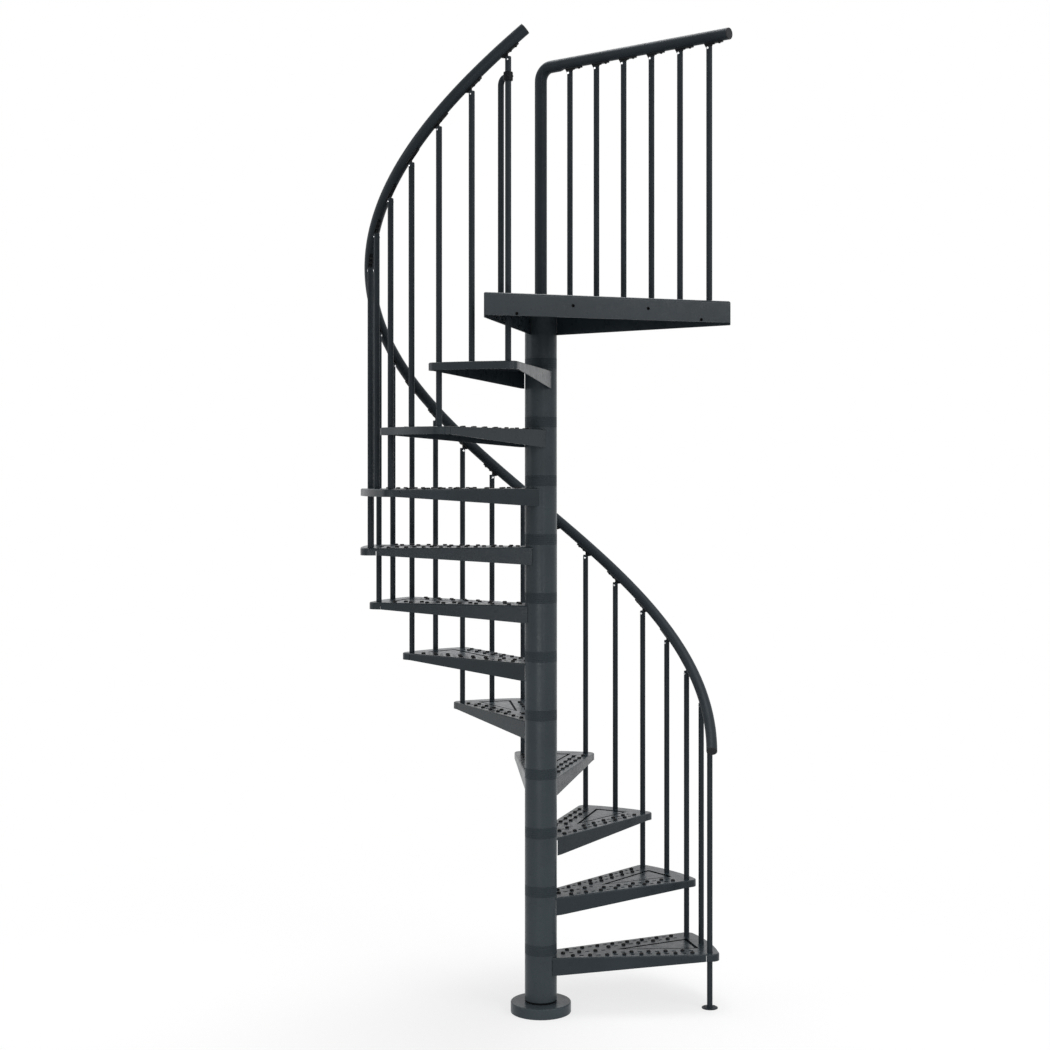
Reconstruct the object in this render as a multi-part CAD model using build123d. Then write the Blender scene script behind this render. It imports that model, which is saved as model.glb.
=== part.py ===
from build123d import *
import math
import os

# The stair as a whole: the climb and turn of one step, and the circle that the treads fit in.
RISE = 203.0
TREAD_COUNT = 11
STEP_ANGLE = 23.34
STAIR_RADIUS = 625.0
LANDING_DIRECTION = 270.0
LAST_TREAD_ANGLE = 42.32
CLEARANCE = 0.3
OVERRUN = 5.0

# Column: tube sleeves threaded on a pole, with spacer rings between them and a round base.
SLEEVE_DIAMETER = 111.5
SLEEVE_WALL = 3.0
SPACER_HEIGHT = 36.0
POLE_DIAMETER = 48.3
POLE_WALL = 2.6
BASE_DIAMETER = 210.0
BASE_HEIGHT = 36.0
BASE_PLATE_THICKNESS = 10.0
BASE_EDGE_WIDTH = 3.0
CAP_HEIGHT = 6.0
CAP_EDGE_WIDTH = 2.0

# Treads: pans folded from sheet, with flanges that deepen towards the column.
SHEET_THICKNESS = 3.0
PLATE_DROP = 8.0
ROOT_HALF_WIDTH = 50.0
TIP_HALF_WIDTH = 157.0
TREAD_CORNER_RADIUS = 30.0
ROOT_DEPTH = 61.0
RIM_DEPTH = 25.0
SLIT_WIDTH = 2.0
SLIT_FROM_TIP = 48.0
PANEL_FROM_RIM = 65.0
PANEL_LENGTH = 290.0
PANEL_HALF_WIDTH = 65.0
PANEL_DEPTH = 2.0
PANEL_CORNER_RADIUS = 5.0

# Balusters: thin bars on one circle, with a dished foot under the first.
BALUSTER_DIAMETER = 19.4
BALUSTER_INSET = 33.0
FOOT_DIAMETER = 56.0
FOOT_HEIGHT = 6.0
FOOT_RIM_HEIGHT = 2.5
FOOT_HUB_DIAMETER = 26.0

# Stair handrail: a tube bent to a helix over the balusters, with a cap in each end.
HANDRAIL_DIAMETER = 38.0
HANDRAIL_START_HEIGHT = 990.0
HANDRAIL_LEAD_LENGTH = 90.0
HANDRAIL_TAIL_LENGTH = 52.0
HANDRAIL_ARC_COUNT = 16
END_CAP_THICKNESS = 4.0
END_CAP_EDGE_WIDTH = 1.5

# Rail brackets: a strip saddled to the underside of a rail, on a web from the baluster's top.
BRACKET_DROP = 40.0
SADDLE_LENGTH = 70.0
SADDLE_HEEL_LENGTH = 18.0
SADDLE_WIDTH = 14.0
SADDLE_THICKNESS = 3.0
SADDLE_CLEARANCE = 0.5
WEB_THICKNESS = 6.0
WEB_HEEL_LENGTH = 16.0
WEB_TOE_LENGTH = 12.0
WEB_NECK_WIDTH = 11.5
WEB_FLARE_ANGLE = 20.0

# Landing: a triangular pan with deep flanges and a fascia bolted to the floor above.
LANDING_REACH = 625.0
LANDING_HALF_LENGTH = 423.5
LANDING_DEPTH = 78.0
LANDING_CORNER_RADIUS = 8.0
FASCIA_HOLE_DIAMETER = 10.0
UPPER_HOLE_SPACING = 256.0
UPPER_HOLE_DROP = 33.5
LOWER_HOLE_SPACING = 629.0
LOWER_HOLE_DROP = 63.5

# Guard of the landing: a post up from the column, bent over into a rail along the open edge.
GUARD_POST_DIAMETER = 42.4
GUARD_HEIGHT = 850.0
GUARD_BEND_RADIUS = 45.0
GUARD_ELBOW_LENGTH = 98.0
GUARD_INSERT_LENGTH = 150.0
GUARD_INSET = 53.0
GUARD_OVERHANG = 43.5
GUARD_BALUSTER_COUNT = 6
GUARD_FIRST_DISTANCE = 128.0
GUARD_LAST_INSET = 30.0

# Link post: stands on the landing and is clamped to the last baluster of the stair.
LINK_FROM_FASCIA = 158.0
LINK_FROM_EDGE = 14.2
LINK_DROP = 103.0
LINK_BEND_RADIUS = 22.0
CLAMP_DIAMETER = 30.0
CLAMP_HEIGHT = 28.0

# Sizes that follow from those above.
SLEEVE_RADIUS = SLEEVE_DIAMETER / 2
POLE_RADIUS = POLE_DIAMETER / 2
BALUSTER_RADIUS = BALUSTER_DIAMETER / 2
BALUSTER_CIRCLE_RADIUS = STAIR_RADIUS - BALUSTER_INSET
HANDRAIL_RADIUS = HANDRAIL_DIAMETER / 2
GUARD_POST_RADIUS = GUARD_POST_DIAMETER / 2
CLAMP_RADIUS = CLAMP_DIAMETER / 2
COLUMN_TOP = RISE * (TREAD_COUNT + 1)
LANDING_TOP = COLUMN_TOP - PLATE_DROP
TIP_REACH = math.sqrt(STAIR_RADIUS**2 - TIP_HALF_WIDTH**2)
SLIT_REACH = TIP_REACH - SLIT_FROM_TIP
LAST_BALUSTER = 2 * TREAD_COUNT


def tread_turn(number):
    return LANDING_DIRECTION - LAST_TREAD_ANGLE - STEP_ANGLE * (TREAD_COUNT - number)


def tread_top(number):
    return RISE * number - PLATE_DROP


# Balusters are numbered from the floor up, two to a tread.
def baluster_turn(number):
    return tread_turn(number / 2 + 1 / 2)


def handrail_height(number):
    return HANDRAIL_START_HEIGHT + number * RISE / 2


def on_circle(radius, turn, height):
    return Pos(radius * math.cos(math.radians(turn)), radius * math.sin(math.radians(turn)), height)


def at_baluster(number):
    return on_circle(BALUSTER_CIRCLE_RADIUS, baluster_turn(number), 0)


def save(node, solids):
    export_step(Compound(children=list(solids)), f"parts/{node}.step")


def rod(radius, bottom, top):
    return extrude(Pos(0, 0, bottom) * Circle(radius), top - bottom)


def tube(radius, inner_radius, bottom, top):
    return extrude(Pos(0, 0, bottom) * (Circle(radius) - Circle(inner_radius)), top - bottom)


def bar_along(path, radius):
    return sweep(Plane(origin=path @ 0, z_dir=path % 0) * Circle(radius), path)


def end_cap(radius):
    disc = extrude(Circle(radius), END_CAP_THICKNESS)
    return chamfer(disc.edges().group_by(Axis.Z)[-1], END_CAP_EDGE_WIDTH)


# A pan's half width at a distance from the column's axis: its sides widen at a steady rate.
def pan_half_width(reach, tip_reach, tip_half_width):
    root_reach = math.sqrt(SLEEVE_RADIUS**2 - ROOT_HALF_WIDTH**2)
    spread = (tip_half_width - ROOT_HALF_WIDTH) / (tip_reach - root_reach)
    return ROOT_HALF_WIDTH + spread * (reach - root_reach)


def pan_sides(tip_reach, tip_half_width):
    axis_half_width = pan_half_width(0, tip_reach, tip_half_width)
    return Polyline(
        (tip_reach, tip_half_width),
        (0, axis_half_width),
        (0, -axis_half_width),
        (tip_reach, -tip_half_width),
    )


def pan_plan(sides, rim, corner_radius):
    plan = make_face(sides + rim)
    return fillet(plan.vertices().sort_by(Axis.X)[-2:], corner_radius)


# A folded pan: a plate with flanges turned down all round, open below and at the column.
def pan(plan, depth):
    block = extrude(plan, -depth)
    hollow = Pos(0, 0, -SHEET_THICKNESS) * offset(plan, -SHEET_THICKNESS)
    inside = extrude(hollow, SHEET_THICKNESS - depth - OVERRUN)
    column = rod(SLEEVE_RADIUS + CLEARANCE, -depth - OVERRUN, OVERRUN)
    return block - inside - column


# Everything below the sloping lower edge of a tread's flanges.
def flange_slope():
    outside = STAIR_RADIUS + OVERRUN
    below = -ROOT_DEPTH - OVERRUN
    profile = make_face(
        Polyline(
            (ROOT_HALF_WIDTH, -ROOT_DEPTH),
            (SLIT_REACH, -RIM_DEPTH),
            (outside, -RIM_DEPTH),
            (outside, below),
            (ROOT_HALF_WIDTH, below),
            close=True,
        )
    )
    return extrude(Plane.XZ * profile, TIP_HALF_WIDTH + OVERRUN, both=True)


# The cuts that let the side flanges and the rim be folded apart.
def flange_slits():
    height = RIM_DEPTH + OVERRUN - SHEET_THICKNESS
    cut = Box(SLIT_WIDTH, 2 * (TIP_HALF_WIDTH + OVERRUN), height)
    return Pos(SLIT_REACH, 0, -SHEET_THICKNESS - height / 2) * cut


def panel_plan():
    outer = STAIR_RADIUS - PANEL_FROM_RIM
    triangle = make_face(
        Polyline(
            (outer - PANEL_LENGTH, 0),
            (outer, PANEL_HALF_WIDTH),
            (outer, -PANEL_HALF_WIDTH),
            close=True,
        )
    )
    return fillet(triangle.vertices(), PANEL_CORNER_RADIUS)


def baluster_hole():
    return rod(BALUSTER_RADIUS + CLEARANCE, -SHEET_THICKNESS - OVERRUN, OVERRUN)


def tread():
    rim = ThreePointArc((TIP_REACH, -TIP_HALF_WIDTH), (STAIR_RADIUS, 0), (TIP_REACH, TIP_HALF_WIDTH))
    plan = pan_plan(pan_sides(TIP_REACH, TIP_HALF_WIDTH), rim, TREAD_CORNER_RADIUS)
    sheet = pan(plan, ROOT_DEPTH) - flange_slope() - flange_slits()
    panel = panel_plan()
    pressed_back = Pos(0, 0, -SHEET_THICKNESS) * offset(panel, SHEET_THICKNESS)
    sheet = sheet + extrude(pressed_back, -PANEL_DEPTH) - extrude(panel, -PANEL_DEPTH)
    return sheet - on_circle(BALUSTER_CIRCLE_RADIUS, -STEP_ANGLE / 2, 0) * baluster_hole()


# A rail bracket, with the rail's axis along X through the origin and the baluster below it.
def bracket(slope):
    inner = HANDRAIL_RADIUS + SADDLE_CLEARANCE
    outer = inner + SADDLE_THICKNESS
    lean = math.radians(slope)
    foot = -BRACKET_DROP * math.sin(lean)

    def baluster_top(sideways):
        down = -sideways * math.sin(lean) - BRACKET_DROP * math.cos(lean)
        return (sideways * math.cos(lean) + foot, down)

    heel = (foot - WEB_HEEL_LENGTH, -(inner + outer) / 2)
    toe = (foot + WEB_TOE_LENGTH, -(inner + outer) / 2)
    right = baluster_top(BALUSTER_RADIUS)
    left = baluster_top(BALUSTER_RADIUS - WEB_NECK_WIDTH)
    flare = math.radians(WEB_FLARE_ANGLE)
    hollow = TangentArc(heel, left, tangent=(math.cos(flare), -math.sin(flare)))
    profile = make_face(Polyline(heel, toe, right, left) + hollow)
    web = extrude(Plane.XZ * profile, WEB_THICKNESS / 2, both=True)

    hoop = extrude(Plane.YZ * (Circle(outer) - Circle(inner)), SADDLE_LENGTH)
    strip = Pos(SADDLE_LENGTH / 2, 0, -outer) * Box(SADDLE_LENGTH, SADDLE_WIDTH, outer)
    saddle = Pos(foot - SADDLE_HEEL_LENGTH, 0, 0) * (hoop & strip)
    baluster = rod(BALUSTER_RADIUS + CLEARANCE, -BRACKET_DROP - SADDLE_LENGTH, -BRACKET_DROP)
    return Rot(0, -slope, 0) * (saddle + web) - baluster


os.makedirs("parts", exist_ok=True)

# Column
base = rod(BASE_DIAMETER / 2, 0, BASE_HEIGHT)
base = chamfer(base.edges().group_by(Axis.Z)[-1], BASE_EDGE_WIDTH)
base = base - rod(POLE_RADIUS + CLEARANCE, BASE_PLATE_THICKNESS, BASE_HEIGHT + OVERRUN)
save("base_flange", [base])
save("centre_pole", [tube(POLE_RADIUS, POLE_RADIUS - POLE_WALL, BASE_PLATE_THICKNESS, COLUMN_TOP)])

sleeves = []
spacers = []
for number in range(1, TREAD_COUNT + 2):
    bottom = BASE_HEIGHT if number == 1 else RISE * (number - 1) + SPACER_HEIGHT
    sleeves.append(tube(SLEEVE_RADIUS, SLEEVE_RADIUS - SLEEVE_WALL, bottom, RISE * number))
    if number > 1:
        spacers.append(tube(SLEEVE_RADIUS, POLE_RADIUS + CLEARANCE, bottom - SPACER_HEIGHT, bottom))
save("column_sleeves", sleeves)
save("spacer_rings", spacers)

cap = rod(SLEEVE_RADIUS, COLUMN_TOP, COLUMN_TOP + CAP_HEIGHT)
cap = chamfer(cap.edges().group_by(Axis.Z)[-1], CAP_EDGE_WIDTH)
cap = cap - rod(GUARD_POST_RADIUS + CLEARANCE, COLUMN_TOP - OVERRUN, COLUMN_TOP + CAP_HEIGHT + OVERRUN)
save("column_cap", [cap])

# Treads
folded_tread = tread()
for number in range(1, TREAD_COUNT + 1):
    place = Pos(0, 0, tread_top(number)) * Rot(0, 0, tread_turn(number))
    save(f"tread_{number:02d}", [place * folded_tread])


# Balusters: the first stands on the floor, the others on the tread that they rise from.
def stair_baluster(number, bottom):
    return at_baluster(number) * rod(BALUSTER_RADIUS, bottom, handrail_height(number) - BRACKET_DROP)


foot_profile = make_face(
    Polyline(
        (0, 0),
        (FOOT_DIAMETER / 2, 0),
        (FOOT_DIAMETER / 2, FOOT_RIM_HEIGHT),
        (FOOT_HUB_DIAMETER / 2, FOOT_HEIGHT),
        (0, FOOT_HEIGHT),
        close=True,
    )
)
save("floor_post_foot", [at_baluster(0) * revolve(Plane.XZ * foot_profile, Axis.Z)])
save("floor_post", [stair_baluster(0, FOOT_HEIGHT)])
treads = range(1, TREAD_COUNT + 1)
save("corner_balusters", [stair_baluster(2 * number, tread_top(number)) for number in treads])
save("middle_balusters", [stair_baluster(2 * number - 1, tread_top(number)) for number in treads])


# The handrail's path: arcs that meet in a line at points of a helix.
def helix_point(number):
    return on_circle(BALUSTER_CIRCLE_RADIUS, baluster_turn(number), handrail_height(number)).position


def handrail_path():
    baluster_spacing = BALUSTER_CIRCLE_RADIUS * math.radians(STEP_ANGLE / 2)
    first = -HANDRAIL_LEAD_LENGTH / baluster_spacing
    last = LAST_BALUSTER + HANDRAIL_TAIL_LENGTH / baluster_spacing
    step = (last - first) / HANDRAIL_ARC_COUNT
    half_turn = math.radians(step * STEP_ANGLE / 2) / 2
    climb = math.atan2(step * RISE / 2, 2 * BALUSTER_CIRCLE_RADIUS * math.tan(half_turn))
    arcs = []
    for index in range(HANDRAIL_ARC_COUNT):
        number = first + index * step
        heading = Vector(0, math.cos(climb), math.sin(climb)).rotate(Axis.Z, baluster_turn(number))
        arcs.append(TangentArc(helix_point(number), helix_point(number + step), tangent=heading))
    return Curve() + arcs


# Stair handrail
path = handrail_path()
save("handrail", [bar_along(path, HANDRAIL_RADIUS)])
lower_end = Plane(origin=path @ 0, z_dir=(path % 0) * -1)
upper_end = Plane(origin=path @ 1, z_dir=path % 1)
save("handrail_caps", [end.location * end_cap(HANDRAIL_RADIUS) for end in (lower_end, upper_end)])

slope = math.degrees(math.atan2(RISE, BALUSTER_CIRCLE_RADIUS * math.radians(STEP_ANGLE)))
stair_bracket = Rot(0, 0, 90) * bracket(slope)
stair_brackets = []
for number in range(LAST_BALUSTER + 1):
    place = at_baluster(number) * Pos(0, 0, handrail_height(number)) * Rot(0, 0, baluster_turn(number))
    stair_brackets.append(place * stair_bracket)
save("stair_rail_brackets", stair_brackets)

# Landing
fascia_line = Line((LANDING_REACH, -LANDING_HALF_LENGTH), (LANDING_REACH, LANDING_HALF_LENGTH))
landing_sides = pan_sides(LANDING_REACH, LANDING_HALF_LENGTH)
landing = pan(pan_plan(landing_sides, fascia_line, LANDING_CORNER_RADIUS), LANDING_DEPTH)
fascia_hole = Rot(0, 90, 0) * Cylinder(FASCIA_HOLE_DIAMETER / 2, 2 * (SHEET_THICKNESS + OVERRUN))
for spacing, drop in ((UPPER_HOLE_SPACING, UPPER_HOLE_DROP), (LOWER_HOLE_SPACING, LOWER_HOLE_DROP)):
    for side in (-1, 1):
        landing = landing - Pos(LANDING_REACH, side * spacing / 2, -drop) * fascia_hole
landing = Pos(0, 0, LANDING_TOP) * Rot(0, 0, LANDING_DIRECTION) * landing
landing = landing - at_baluster(LAST_BALUSTER) * Pos(0, 0, LANDING_TOP) * baluster_hole()
save("landing_deck", [landing])

# Guard of the landing
guard_span = math.hypot(LANDING_REACH, LANDING_HALF_LENGTH - GUARD_INSET)
guard_splay = math.degrees(math.atan2(LANDING_HALF_LENGTH - GUARD_INSET, LANDING_REACH))
guard_place = Rot(0, 0, LANDING_DIRECTION + guard_splay)
guard_reach = guard_span + GUARD_OVERHANG
elbow_height = LANDING_TOP + GUARD_HEIGHT
rail_height = elbow_height + GUARD_POST_RADIUS - HANDRAIL_RADIUS
post_path = FilletPolyline(
    (0, 0, COLUMN_TOP - GUARD_INSERT_LENGTH),
    (0, 0, elbow_height),
    (GUARD_ELBOW_LENGTH, 0, elbow_height),
    radius=GUARD_BEND_RADIUS,
)
save("guard_post", [guard_place * bar_along(post_path, GUARD_POST_RADIUS)])
along_rail = guard_place * Pos(0, 0, rail_height) * Rot(0, 90, 0)
save("guard_rail", [along_rail * rod(HANDRAIL_RADIUS, GUARD_ELBOW_LENGTH, guard_reach)])
save("guard_rail_cap", [along_rail * Pos(0, 0, guard_reach) * end_cap(HANDRAIL_RADIUS)])

guard_pitch = (guard_span - GUARD_LAST_INSET - GUARD_FIRST_DISTANCE) / (GUARD_BALUSTER_COUNT - 1)
guard_baluster = rod(BALUSTER_RADIUS, LANDING_TOP, rail_height - BRACKET_DROP)
guard_bracket = Pos(0, 0, rail_height) * bracket(0)
guard_places = []
for index in range(GUARD_BALUSTER_COUNT):
    guard_places.append(guard_place * Pos(GUARD_FIRST_DISTANCE + index * guard_pitch, 0, 0))
save("guard_balusters", [place * guard_baluster for place in guard_places])
save("guard_rail_brackets", [place * guard_bracket for place in guard_places])

# Link post and its clamp
link_height = handrail_height(LAST_BALUSTER) - LINK_DROP
link_reach = LANDING_REACH - LINK_FROM_FASCIA
link_side = pan_half_width(link_reach, LANDING_REACH, LANDING_HALF_LENGTH) - LINK_FROM_EDGE
link_foot = (Rot(0, 0, LANDING_DIRECTION) * Pos(link_reach, -link_side, 0)).position
to_baluster = at_baluster(LAST_BALUSTER).position - link_foot
span = to_baluster.length
link_path = FilletPolyline(
    (0, 0, LANDING_TOP),
    (0, 0, link_height),
    (span - BALUSTER_RADIUS - CLEARANCE, 0, link_height),
    radius=LINK_BEND_RADIUS,
)
link_turn = math.degrees(math.atan2(to_baluster.Y, to_baluster.X))
link_place = Pos(link_foot.X, link_foot.Y, 0) * Rot(0, 0, link_turn)
save("landing_link_post", [link_place * bar_along(link_path, BALUSTER_RADIUS)])

bore = BALUSTER_RADIUS + CLEARANCE
collar = tube(CLAMP_RADIUS, bore, -CLAMP_HEIGHT / 2, CLAMP_HEIGHT / 2)
collar = collar - Pos(-CLAMP_RADIUS, 0, 0) * Rot(0, 90, 0) * Cylinder(bore, CLAMP_DIAMETER)
save("link_clamp", [link_place * Pos(span, 0, link_height) * collar])
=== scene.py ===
import math

import bmesh
import bpy
from mathutils import Matrix, Vector


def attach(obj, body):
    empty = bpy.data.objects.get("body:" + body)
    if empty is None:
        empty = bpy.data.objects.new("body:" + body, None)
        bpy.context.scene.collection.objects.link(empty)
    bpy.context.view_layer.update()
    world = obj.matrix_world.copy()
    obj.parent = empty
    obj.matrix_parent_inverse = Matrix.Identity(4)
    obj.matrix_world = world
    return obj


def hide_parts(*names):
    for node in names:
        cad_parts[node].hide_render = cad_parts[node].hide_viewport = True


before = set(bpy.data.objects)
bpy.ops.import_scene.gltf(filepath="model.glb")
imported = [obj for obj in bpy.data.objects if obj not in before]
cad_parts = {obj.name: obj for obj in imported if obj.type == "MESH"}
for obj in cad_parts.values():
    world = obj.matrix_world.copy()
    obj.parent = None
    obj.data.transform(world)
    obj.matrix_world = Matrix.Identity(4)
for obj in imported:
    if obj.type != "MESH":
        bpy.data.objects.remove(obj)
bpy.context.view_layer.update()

bpy.context.scene.view_settings.view_transform = "Standard"


# Base: a round steel cover over the plate that is bolted to the floor under the column.
# It is spun from sheet with a soft upper edge, and powder coated in anthracite.
base_radius = 0.105
base_height = 0.036
base_edge = 0.004
base_foot_edge = 0.001
edge_margin = 0.001
smooth_angle = math.radians(32)
anthracite = (0.045, 0.057, 0.065)


def surface_finish(name, colour, roughness, grain, shine=0.21, metal=0.0):
    coat = bpy.data.materials.new(name)
    coat.use_nodes = True
    nodes = coat.node_tree.nodes
    links = coat.node_tree.links
    shader = nodes["Principled BSDF"]
    shader.inputs["Specular IOR Level"].default_value = shine
    shader.inputs["Metallic"].default_value = metal
    place = nodes.new("ShaderNodeTexCoord")

    # The tone varies a little, as a film does that is thicker in some places.
    film_spread = 0.12
    film = nodes.new("ShaderNodeTexNoise")
    film.inputs["Scale"].default_value = 7.0
    film.inputs["Detail"].default_value = 4.0
    tones = nodes.new("ShaderNodeValToRGB")
    tones.color_ramp.elements[0].position = 0.3
    tones.color_ramp.elements[0].color = (*[(1 - film_spread) * part for part in colour], 1)
    tones.color_ramp.elements[1].position = 0.7
    tones.color_ramp.elements[1].color = (*[(1 + film_spread) * part for part in colour], 1)
    links.new(place.outputs["Object"], film.inputs["Vector"])
    links.new(film.outputs["Fac"], tones.inputs["Fac"])
    links.new(tones.outputs["Color"], shader.inputs["Base Color"])

    # Handling leaves it slightly glossier in patches.
    sheen = nodes.new("ShaderNodeTexNoise")
    sheen.inputs["Scale"].default_value = 38.0
    sheen.inputs["Detail"].default_value = 3.0
    gloss = nodes.new("ShaderNodeMapRange")
    gloss.inputs["From Min"].default_value = 0.3
    gloss.inputs["From Max"].default_value = 0.7
    gloss.inputs["To Min"].default_value = roughness - 0.05
    gloss.inputs["To Max"].default_value = roughness + 0.06
    links.new(place.outputs["Object"], sheen.inputs["Vector"])
    links.new(sheen.outputs["Fac"], gloss.inputs["Value"])
    links.new(gloss.outputs["Result"], shader.inputs["Roughness"])

    # A fine skin covers it, like the orange peel of fused powder.
    peel = nodes.new("ShaderNodeTexNoise")
    peel.inputs["Scale"].default_value = 520.0
    peel.inputs["Detail"].default_value = 2.0
    skin = nodes.new("ShaderNodeBump")
    skin.inputs["Strength"].default_value = grain
    skin.inputs["Distance"].default_value = 0.0006
    links.new(place.outputs["Object"], peel.inputs["Vector"])
    links.new(peel.outputs["Fac"], skin.inputs["Height"])
    links.new(skin.outputs["Normal"], shader.inputs["Normal"])
    return coat


def named(name):
    piece = bpy.context.active_object
    piece.name = name
    piece.data.name = name
    bpy.ops.object.transform_apply(location=True, rotation=True, scale=True)
    return piece


def only(piece):
    bpy.ops.object.select_all(action="DESELECT")
    piece.select_set(True)
    bpy.context.view_layer.objects.active = piece


def edit(piece):
    only(piece)
    bpy.ops.object.mode_set(mode="EDIT")
    bpy.ops.mesh.select_all(action="DESELECT")


def leave():
    bpy.ops.object.mode_set(mode="OBJECT")


def pick(piece, kind, test):
    bpy.ops.mesh.select_mode(type=kind)
    bpy.ops.mesh.select_all(action="DESELECT")
    mesh = bmesh.from_edit_mesh(piece.data)
    for part in {"VERT": mesh.verts, "EDGE": mesh.edges, "FACE": mesh.faces}[kind]:
        corners = [part] if kind == "VERT" else part.verts
        if all(test(corner.co) for corner in corners):
            part.select_set(True)
    bmesh.update_edit_mesh(piece.data)


def settle(piece, coat, slot, *nodes):
    piece.data.materials.clear()
    piece.data.materials.append(coat)
    only(piece)
    bpy.ops.object.shade_smooth_by_angle(angle=smooth_angle)
    weighted = piece.modifiers.new("flat_faces", "WEIGHTED_NORMAL")
    weighted.keep_sharp = True
    bpy.ops.object.modifier_apply(modifier=weighted.name)
    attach(piece, "root")
    if nodes:
        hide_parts(*nodes)


column_coat = surface_finish("column_coat_satin", anthracite, 0.30, 0.05, shine=0.12)

bpy.ops.object.select_all(action="DESELECT")
bpy.ops.mesh.primitive_cylinder_add(
    vertices=128, radius=base_radius, depth=base_height, location=(0, 0, base_height / 2)
)
base = named("base_cover")
edit(base)
pick(base, "EDGE", lambda at: at.z > base_height - edge_margin)
bpy.ops.mesh.bevel(offset=base_edge, segments=5, affect="EDGES")
pick(base, "EDGE", lambda at: at.z < edge_margin)
bpy.ops.mesh.bevel(offset=base_foot_edge, segments=2, affect="EDGES")
leave()
settle(base, column_coat, "column_coat", "base_flange")


# Column: twelve lengths of steel tube threaded on a pole, one under each tread and the landing.
# Their ends are cut square and broken, so a fine line shows at each joint. They are powder coated.
column_radius = 0.05575
rise = 0.203
sleeve_height = rise - base_height
rise_count = 12
tube_end_edge = 0.0009
square_edge = math.radians(60)
foot_ring_height = 0.008
foot_share = 0.93
foot_ring_inset = 0.0006
foot_ring_edge = 0.0008


def apply(piece, kind, **settings):
    modifier = piece.modifiers.new(kind.lower(), kind)
    for key, value in settings.items():
        setattr(modifier, key, value)
    only(piece)
    bpy.ops.object.modifier_apply(modifier=modifier.name)


def repeat(piece, count, step):
    apply(
        piece,
        "ARRAY",
        count=count,
        use_relative_offset=False,
        use_constant_offset=True,
        constant_offset_displace=step,
    )


bpy.ops.object.select_all(action="DESELECT")
bpy.ops.mesh.primitive_cylinder_add(
    vertices=112,
    radius=column_radius,
    depth=sleeve_height,
    location=(0, 0, base_height + sleeve_height / 2),
)
sleeves = named("column_tubes")
edit(sleeves)
bpy.ops.mesh.edges_select_sharp(sharpness=square_edge)
bpy.ops.mesh.bevel(offset=tube_end_edge, segments=2, affect="EDGES")
leave()
repeat(sleeves, rise_count, (0, 0, rise))

# The lowest tube is turned in at its foot, where it stands in a black ring on the base; the ring's
# near-black tone is painted shade for the dark band at the column's foot.
edit(sleeves)
pick(sleeves, "FACE", lambda at: at.z < rise + edge_margin)
bpy.ops.mesh.bisect(plane_co=(0, 0, base_height + foot_ring_height), plane_no=(0, 0, 1))
pick(sleeves, "VERT", lambda at: at.z < base_height + foot_ring_height - edge_margin)
bpy.ops.transform.resize(value=(foot_share, foot_share, 1), center_override=(0, 0, 0))
leave()
settle(sleeves, column_coat, "column_coat", "column_sleeves")

# The ring is coloured near-black as painted shade for the shadow at the column's foot.
foot_ring_shade_black = (0.004, 0.005, 0.006)
foot_ring_painted_shade = surface_finish("foot_ring_painted_shade", foot_ring_shade_black, 0.6, 0.1, shine=0.05)
bpy.ops.object.select_all(action="DESELECT")
bpy.ops.mesh.primitive_cylinder_add(
    vertices=112,
    radius=column_radius - foot_ring_inset,
    depth=foot_ring_height,
    location=(0, 0, base_height + foot_ring_height / 2),
)
foot_ring = named("column_foot_ring")
edit(foot_ring)
bpy.ops.mesh.edges_select_sharp(sharpness=square_edge)
bpy.ops.mesh.bevel(offset=foot_ring_edge, segments=2, affect="EDGES")
leave()
settle(foot_ring, foot_ring_painted_shade, "spacer_plastic")


# Spacers: stacks of thin moulded rings between the tubes, which set the rise of each step.
# They are dark grey plastic, a shade darker than the coat, with rounded rims.
ring_count = 5
ring_height = base_height / ring_count
ring_gap = 0.0001
ring_edge = 0.0007
spacer_grey = (0.030, 0.040, 0.047)
spacer_plastic = surface_finish("spacer_plastic_matt", spacer_grey, 0.5, 0.05, shine=0.12)

bpy.ops.object.select_all(action="DESELECT")
bpy.ops.mesh.primitive_cylinder_add(
    vertices=80,
    radius=column_radius,
    depth=ring_height - ring_gap,
    location=(0, 0, rise + ring_height / 2),
)
spacers = named("spacer_stacks")
edit(spacers)
bpy.ops.mesh.edges_select_sharp(sharpness=square_edge)
bpy.ops.mesh.bevel(offset=ring_edge, segments=2, affect="EDGES")
leave()
repeat(spacers, ring_count, (0, 0, ring_height))
repeat(spacers, rise_count - 1, (0, 0, rise))
settle(spacers, spacer_plastic, "spacer_plastic", "spacer_rings")


# Column cap: a turned steel lid on the top tube, with a hole that the guard post goes through.
# It is pressed in, so only its broken rim shows.
column_top = rise * rise_count
cap_height = 0.006
lid_top = column_top + cap_height
lid_lip = 0.003
lid_chamfer = 0.0015
lid_step = 0.001
lid_edge = 0.002
post_radius = 0.0212

bpy.ops.object.select_all(action="DESELECT")
bpy.ops.mesh.primitive_cylinder_add(
    vertices=112, radius=column_radius, depth=cap_height, location=(0, 0, column_top + cap_height / 2)
)
lid = named("column_lid")
edit(lid)
pick(lid, "FACE", lambda at: at.z > lid_top - edge_margin)
bpy.ops.mesh.inset(thickness=column_radius - post_radius - lid_lip)
bpy.ops.mesh.inset(thickness=lid_chamfer, depth=-lid_step)
pick(lid, "EDGE", lambda at: at.z > lid_top - lid_step / 2 and at.xy.length > column_radius - edge_margin)
bpy.ops.mesh.bevel(offset=lid_edge, segments=4, affect="EDGES")
leave()
settle(lid, column_coat, "column_coat", "column_cap")


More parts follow.
